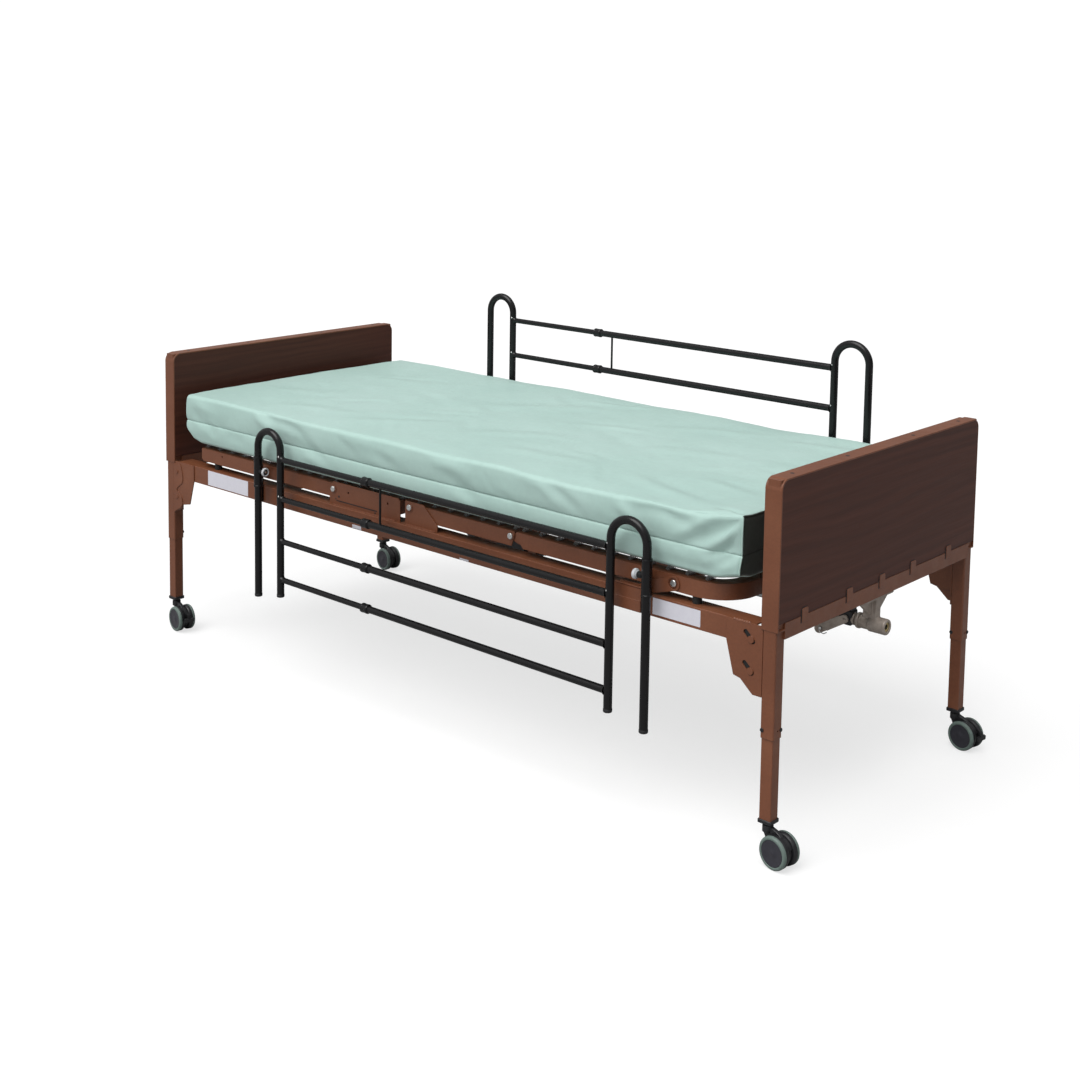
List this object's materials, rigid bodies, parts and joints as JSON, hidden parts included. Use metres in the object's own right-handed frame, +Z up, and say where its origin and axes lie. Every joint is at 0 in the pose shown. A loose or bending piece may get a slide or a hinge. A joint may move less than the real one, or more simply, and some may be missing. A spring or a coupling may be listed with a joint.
{
  "type": "adjustable hospital bed",
  "caption": "Home-care hospital bed: wood-grain ends on telescopic legs with casters, jointed spring deck, vinyl mattress and two lifting side guard rails.",
  "frame": {"origin": "on the floor under the centre of the bed's overall footprint", "axes": "+X toward the foot end, +Y toward the side whose guard rail is raised, +Z up"},
  "size_m": [2.3178, 0.995, 1.02],
  "materials": {
    "brown_paint": "satin powder coat",
    "dark_laminate": "satin wood-grain laminate",
    "black_gloss_paint": "glossy powder coat",
    "bright_steel": "bright zinc",
    "spring_steel": "zinc plated wire",
    "vinyl_cover": "coated nylon, soft sheen",
    "black_rubber": "matt",
    "cast_grey": "as cast, silver paint",
    "black_plastic": "fine texture",
    "caster_rubber": "grey-green tread, black hubs",
    "knob_white": "light grey plastic"
  },
  "bodies": {
    "frame": {"head_end_frame": "brown_paint", "foot_end_frame": "brown_paint", "end_boards": "dark_laminate", "side_rails": "brown_paint", "corner_brackets": "brown_paint", "frame_bolts": "bright_steel", "cross_members": "brown_paint", "seat_frame": "brown_paint", "seat_spring_deck": "spring_steel", "mattress_seat": "vinyl_cover", "deck_bumpers": "black_rubber", "gearbox_housings": "cast_grey", "guard_sleeves": "black_gloss_paint"},
    "head_section": {"head_frame": "brown_paint", "head_spring_deck": "spring_steel", "mattress_head": "vinyl_cover"},
    "thigh_section": {"thigh_frame": "brown_paint", "thigh_spring_deck": "spring_steel", "mattress_thigh": "vinyl_cover"},
    "foot_section": {"foot_frame": "brown_paint", "foot_spring_deck": "spring_steel", "mattress_foot": "vinyl_cover", "knee_bolts": "bright_steel"},
    "foot_link": {"foot_links": "brown_paint"},
    "head_motor_body": {"head_motor": "black_plastic"},
    "head_rod_body": {"head_push_rod": "bright_steel"},
    "knee_motor_body": {"knee_motor": "black_plastic"},
    "knee_rod_body": {"knee_push_rod": "bright_steel"},
    "drive_line": {"drive_shaft": "bright_steel"},
    "foot_riser": {"foot_riser_shaft": "bright_steel"},
    "head_riser": {"head_riser_shaft": "bright_steel"},
    "foot_cross": {"foot_cross_shaft": "bright_steel"},
    "head_cross": {"head_cross_shaft": "bright_steel"},
    "coupling_arm": {"coupling_lever": "cast_grey"},
    "guard_near": {"guard_near_foot": "black_gloss_paint", "guard_near_head": "black_gloss_paint"},
    "guard_far": {"guard_far_foot": "black_gloss_paint", "guard_far_head": "black_gloss_paint"},
    "leg_foot_near": {"inner_leg_foot_near": "brown_paint"},
    "screw_foot_near": {"leg_screw_foot_near": "bright_steel"},
    "leg_foot_far": {"inner_leg_foot_far": "brown_paint"},
    "screw_foot_far": {"leg_screw_foot_far": "bright_steel"},
    "leg_head_near": {"inner_leg_head_near": "brown_paint"},
    "screw_head_near": {"leg_screw_head_near": "bright_steel"},
    "leg_head_far": {"inner_leg_head_far": "brown_paint"},
    "screw_head_far": {"leg_screw_head_far": "bright_steel"},
    "caster_foot_near": {"caster_yoke_foot_near": "black_plastic"},
    "wheels_foot_near": {"caster_wheels_foot_near": "caster_rubber"},
    "caster_foot_far": {"caster_yoke_foot_far": "black_plastic"},
    "wheels_foot_far": {"caster_wheels_foot_far": "caster_rubber"},
    "caster_head_near": {"caster_yoke_head_near": "black_plastic"},
    "wheels_head_near": {"caster_wheels_head_near": "caster_rubber"},
    "caster_head_far": {"caster_yoke_head_far": "black_plastic"},
    "wheels_head_far": {"caster_wheels_head_far": "caster_rubber"},
    "brake_foot_far": {"brake_lever_foot_far": "black_plastic"},
    "brake_head_near": {"brake_lever_head_near": "black_plastic"},
    "knob_foot_near": {"release_knob_foot_near": "knob_white"},
    "knob_foot_far": {"release_knob_foot_far": "knob_white"},
    "knob_head_near": {"release_knob_head_near": "knob_white"},
    "knob_head_far": {"release_knob_head_far": "knob_white"}
  },
  "joints": [
    {"name": "backrest_tilt", "type": "hinge", "parent": "frame", "child": "head_section", "pos_m": [-0.3732, 0, 0.578], "axis": [0, 1, 0], "range_deg": [0, 65]},
    {"name": "thigh_tilt", "type": "hinge", "parent": "frame", "child": "thigh_section", "pos_m": [-0.0682, 0, 0.583], "axis": [0, -1, 0], "range_deg": [0, 30]},
    {"name": "knee_fold", "type": "hinge", "parent": "thigh_section", "child": "foot_section", "pos_m": [0.2928, 0, 0.579], "axis": [0, -1, 0], "range_deg": [-42, 0]},
    {"name": "foot_link_swing", "type": "hinge", "parent": "frame", "child": "foot_link", "pos_m": [0.6568, 0, 0.543], "axis": [0, -1, 0], "range_deg": [0, 41]},
    {"name": "head_motor_swing", "type": "hinge", "parent": "frame", "child": "head_motor_body", "pos_m": [0.1268, -0.15, 0.44], "axis": [0, 1, 0], "range_deg": [0, 1.2]},
    {"name": "head_rod_push", "type": "slide", "parent": "head_motor_body", "child": "head_rod_body", "axis": [-0.9979, 0, 0.0643], "range_m": [0, 0.14]},
    {"name": "knee_motor_swing", "type": "hinge", "parent": "frame", "child": "knee_motor_body", "pos_m": [0.5768, 0.15, 0.44], "axis": [0, 1, 0], "range_deg": [0, 0.5]},
    {"name": "knee_rod_pull", "type": "slide", "parent": "knee_motor_body", "child": "knee_rod_body", "axis": [-0.9985, 0, 0.0549], "range_m": [-0.062, 0]},
    {"name": "leg_lift_foot_near", "type": "slide", "parent": "frame", "child": "leg_foot_near", "axis": [0, 0, 1], "range_m": [0, 0.18], "stiffness_N_per_m": 100000},
    {"name": "leg_lift_foot_far", "type": "slide", "parent": "frame", "child": "leg_foot_far", "axis": [0, 0, 1], "range_m": [0, 0.18], "stiffness_N_per_m": 100000},
    {"name": "leg_lift_head_near", "type": "slide", "parent": "frame", "child": "leg_head_near", "axis": [0, 0, 1], "range_m": [0, 0.18], "stiffness_N_per_m": 100000},
    {"name": "leg_lift_head_far", "type": "slide", "parent": "frame", "child": "leg_head_far", "axis": [0, 0, 1], "range_m": [0, 0.18], "stiffness_N_per_m": 100000},
    {"name": "screw_turn_foot_near", "type": "hinge", "parent": "frame", "child": "screw_foot_near", "pos_m": [1.0725, -0.4385, 0.5], "axis": [0, 0, 1], "range_deg": [0, 6500]},
    {"name": "screw_turn_foot_far", "type": "hinge", "parent": "frame", "child": "screw_foot_far", "pos_m": [1.0725, 0.4385, 0.5], "axis": [0, 0, 1], "range_deg": [-6500, 0]},
    {"name": "screw_turn_head_near", "type": "hinge", "parent": "frame", "child": "screw_head_near", "pos_m": [-1.1189, -0.4385, 0.5], "axis": [0, 0, 1], "range_deg": [0, 6500]},
    {"name": "screw_turn_head_far", "type": "hinge", "parent": "frame", "child": "screw_head_far", "pos_m": [-1.1189, 0.4385, 0.5], "axis": [0, 0, 1], "range_deg": [-6500, 0]},
    {"name": "foot_cross_turn", "type": "hinge", "parent": "frame", "child": "foot_cross", "pos_m": [1.0725, 0, 0.7], "axis": [0, 1, 0], "range_deg": [0, 6500]},
    {"name": "head_cross_turn", "type": "hinge", "parent": "frame", "child": "head_cross", "pos_m": [-1.1189, 0, 0.7], "axis": [0, 1, 0], "range_deg": [0, 6500]},
    {"name": "foot_riser_turn", "type": "hinge", "parent": "frame", "child": "foot_riser", "pos_m": [1.0725, -0.01, 0.6], "axis": [0, 0, 1], "range_deg": [0, 6500]},
    {"name": "head_riser_turn", "type": "hinge", "parent": "frame", "child": "head_riser", "pos_m": [-1.1189, -0.01, 0.6], "axis": [0, 0, 1], "range_deg": [0, 6500]},
    {"name": "crank_turn", "type": "hinge", "parent": "frame", "child": "drive_line", "pos_m": [-0.0232, -0.01, 0.436], "axis": [1, 0, 0], "range_deg": [0, 6500]},
    {"name": "coupling_release", "type": "hinge", "parent": "frame", "child": "coupling_arm", "pos_m": [1.0068, -0.01, 0.436], "axis": [0, 1, 0], "range_deg": [0, 10]},
    {"name": "swivel_foot_near", "type": "hinge", "parent": "leg_foot_near", "child": "caster_foot_near", "pos_m": [1.0725, -0.4385, 0.09], "axis": [0, 0, 1], "continuous": true},
    {"name": "wheel_spin_foot_near", "type": "hinge", "parent": "caster_foot_near", "child": "wheels_foot_near", "pos_m": [1.10716, -0.44337, 0.038], "axis": [0.1392, 0.9903, 0], "continuous": true},
    {"name": "swivel_foot_far", "type": "hinge", "parent": "leg_foot_far", "child": "caster_foot_far", "pos_m": [1.0725, 0.4385, 0.09], "axis": [0, 0, 1], "continuous": true},
    {"name": "wheel_spin_foot_far", "type": "hinge", "parent": "caster_foot_far", "child": "wheels_foot_far", "pos_m": [1.10716, 0.43363, 0.038], "axis": [0.1392, 0.9903, 0], "continuous": true},
    {"name": "swivel_head_near", "type": "hinge", "parent": "leg_head_near", "child": "caster_head_near", "pos_m": [-1.1189, -0.4385, 0.09], "axis": [0, 0, 1], "continuous": true},
    {"name": "wheel_spin_head_near", "type": "hinge", "parent": "caster_head_near", "child": "wheels_head_near", "pos_m": [-1.08424, -0.44337, 0.038], "axis": [0.1392, 0.9903, 0], "continuous": true},
    {"name": "swivel_head_far", "type": "hinge", "parent": "leg_head_far", "child": "caster_head_far", "pos_m": [-1.1189, 0.4385, 0.09], "axis": [0, 0, 1], "continuous": true},
    {"name": "wheel_spin_head_far", "type": "hinge", "parent": "caster_head_far", "child": "wheels_head_far", "pos_m": [-1.08424, 0.43363, 0.038], "axis": [0.1392, 0.9903, 0], "continuous": true},
    {"name": "brake_press_foot_far", "type": "hinge", "parent": "caster_foot_far", "child": "brake_foot_far", "pos_m": [1.14083, 0.4289, 0.058], "axis": [0.1392, 0.9903, 0], "range_deg": [0, 12]},
    {"name": "brake_press_head_near", "type": "hinge", "parent": "caster_head_near", "child": "brake_head_near", "pos_m": [-1.05057, -0.4481, 0.058], "axis": [0.1392, 0.9903, 0], "range_deg": [0, 12]},
    {"name": "guard_near_lift", "type": "slide", "parent": "frame", "child": "guard_near", "axis": [0, 0, 1], "range_m": [0, 0.3], "stiffness_N_per_m": 30000},
    {"name": "guard_far_drop", "type": "slide", "parent": "frame", "child": "guard_far", "axis": [0, 0, 1], "range_m": [-0.3, 0], "stiffness_N_per_m": 30000},
    {"name": "knob_pull_foot_near", "type": "slide", "parent": "frame", "child": "knob_foot_near", "axis": [-1, 0, 0], "range_m": [0, 0.008]},
    {"name": "knob_pull_foot_far", "type": "slide", "parent": "frame", "child": "knob_foot_far", "axis": [-1, 0, 0], "range_m": [0, 0.008]},
    {"name": "knob_pull_head_near", "type": "slide", "parent": "frame", "child": "knob_head_near", "axis": [1, 0, 0], "range_m": [0, 0.008]},
    {"name": "knob_pull_head_far", "type": "slide", "parent": "frame", "child": "knob_head_far", "axis": [1, 0, 0], "range_m": [0, 0.008]}
  ],
  "couplings": [
    {"joint": "knee_fold", "follows": "thigh_tilt", "ratio": -1.35},
    {"joint": "foot_link_swing", "follows": "thigh_tilt", "ratio": 1.333},
    {"joint": "knee_motor_swing", "follows": "thigh_tilt", "ratio": 0.01},
    {"joint": "knee_rod_pull", "follows": "thigh_tilt", "m_per_rad": -0.10924},
    {"joint": "head_motor_swing", "follows": "backrest_tilt", "ratio": 0.014},
    {"joint": "head_rod_push", "follows": "backrest_tilt", "m_per_rad": 0.11353},
    {"joint": "leg_lift_foot_near", "follows": "leg_lift_head_far", "ratio": 1},
    {"joint": "screw_turn_foot_near", "follows": "leg_lift_head_far", "rad_per_m": 628.32},
    {"joint": "leg_lift_foot_far", "follows": "leg_lift_head_far", "ratio": 1},
    {"joint": "screw_turn_foot_far", "follows": "leg_lift_head_far", "rad_per_m": -628.32},
    {"joint": "leg_lift_head_near", "follows": "leg_lift_head_far", "ratio": 1},
    {"joint": "screw_turn_head_near", "follows": "leg_lift_head_far", "rad_per_m": 628.32},
    {"joint": "screw_turn_head_far", "follows": "leg_lift_head_far", "rad_per_m": -628.32},
    {"joint": "foot_cross_turn", "follows": "leg_lift_head_far", "rad_per_m": 628.32},
    {"joint": "head_cross_turn", "follows": "leg_lift_head_far", "rad_per_m": 628.32},
    {"joint": "foot_riser_turn", "follows": "leg_lift_head_far", "rad_per_m": 628.32},
    {"joint": "head_riser_turn", "follows": "leg_lift_head_far", "rad_per_m": 628.32},
    {"joint": "crank_turn", "follows": "leg_lift_head_far", "rad_per_m": 628.32}
  ]
}
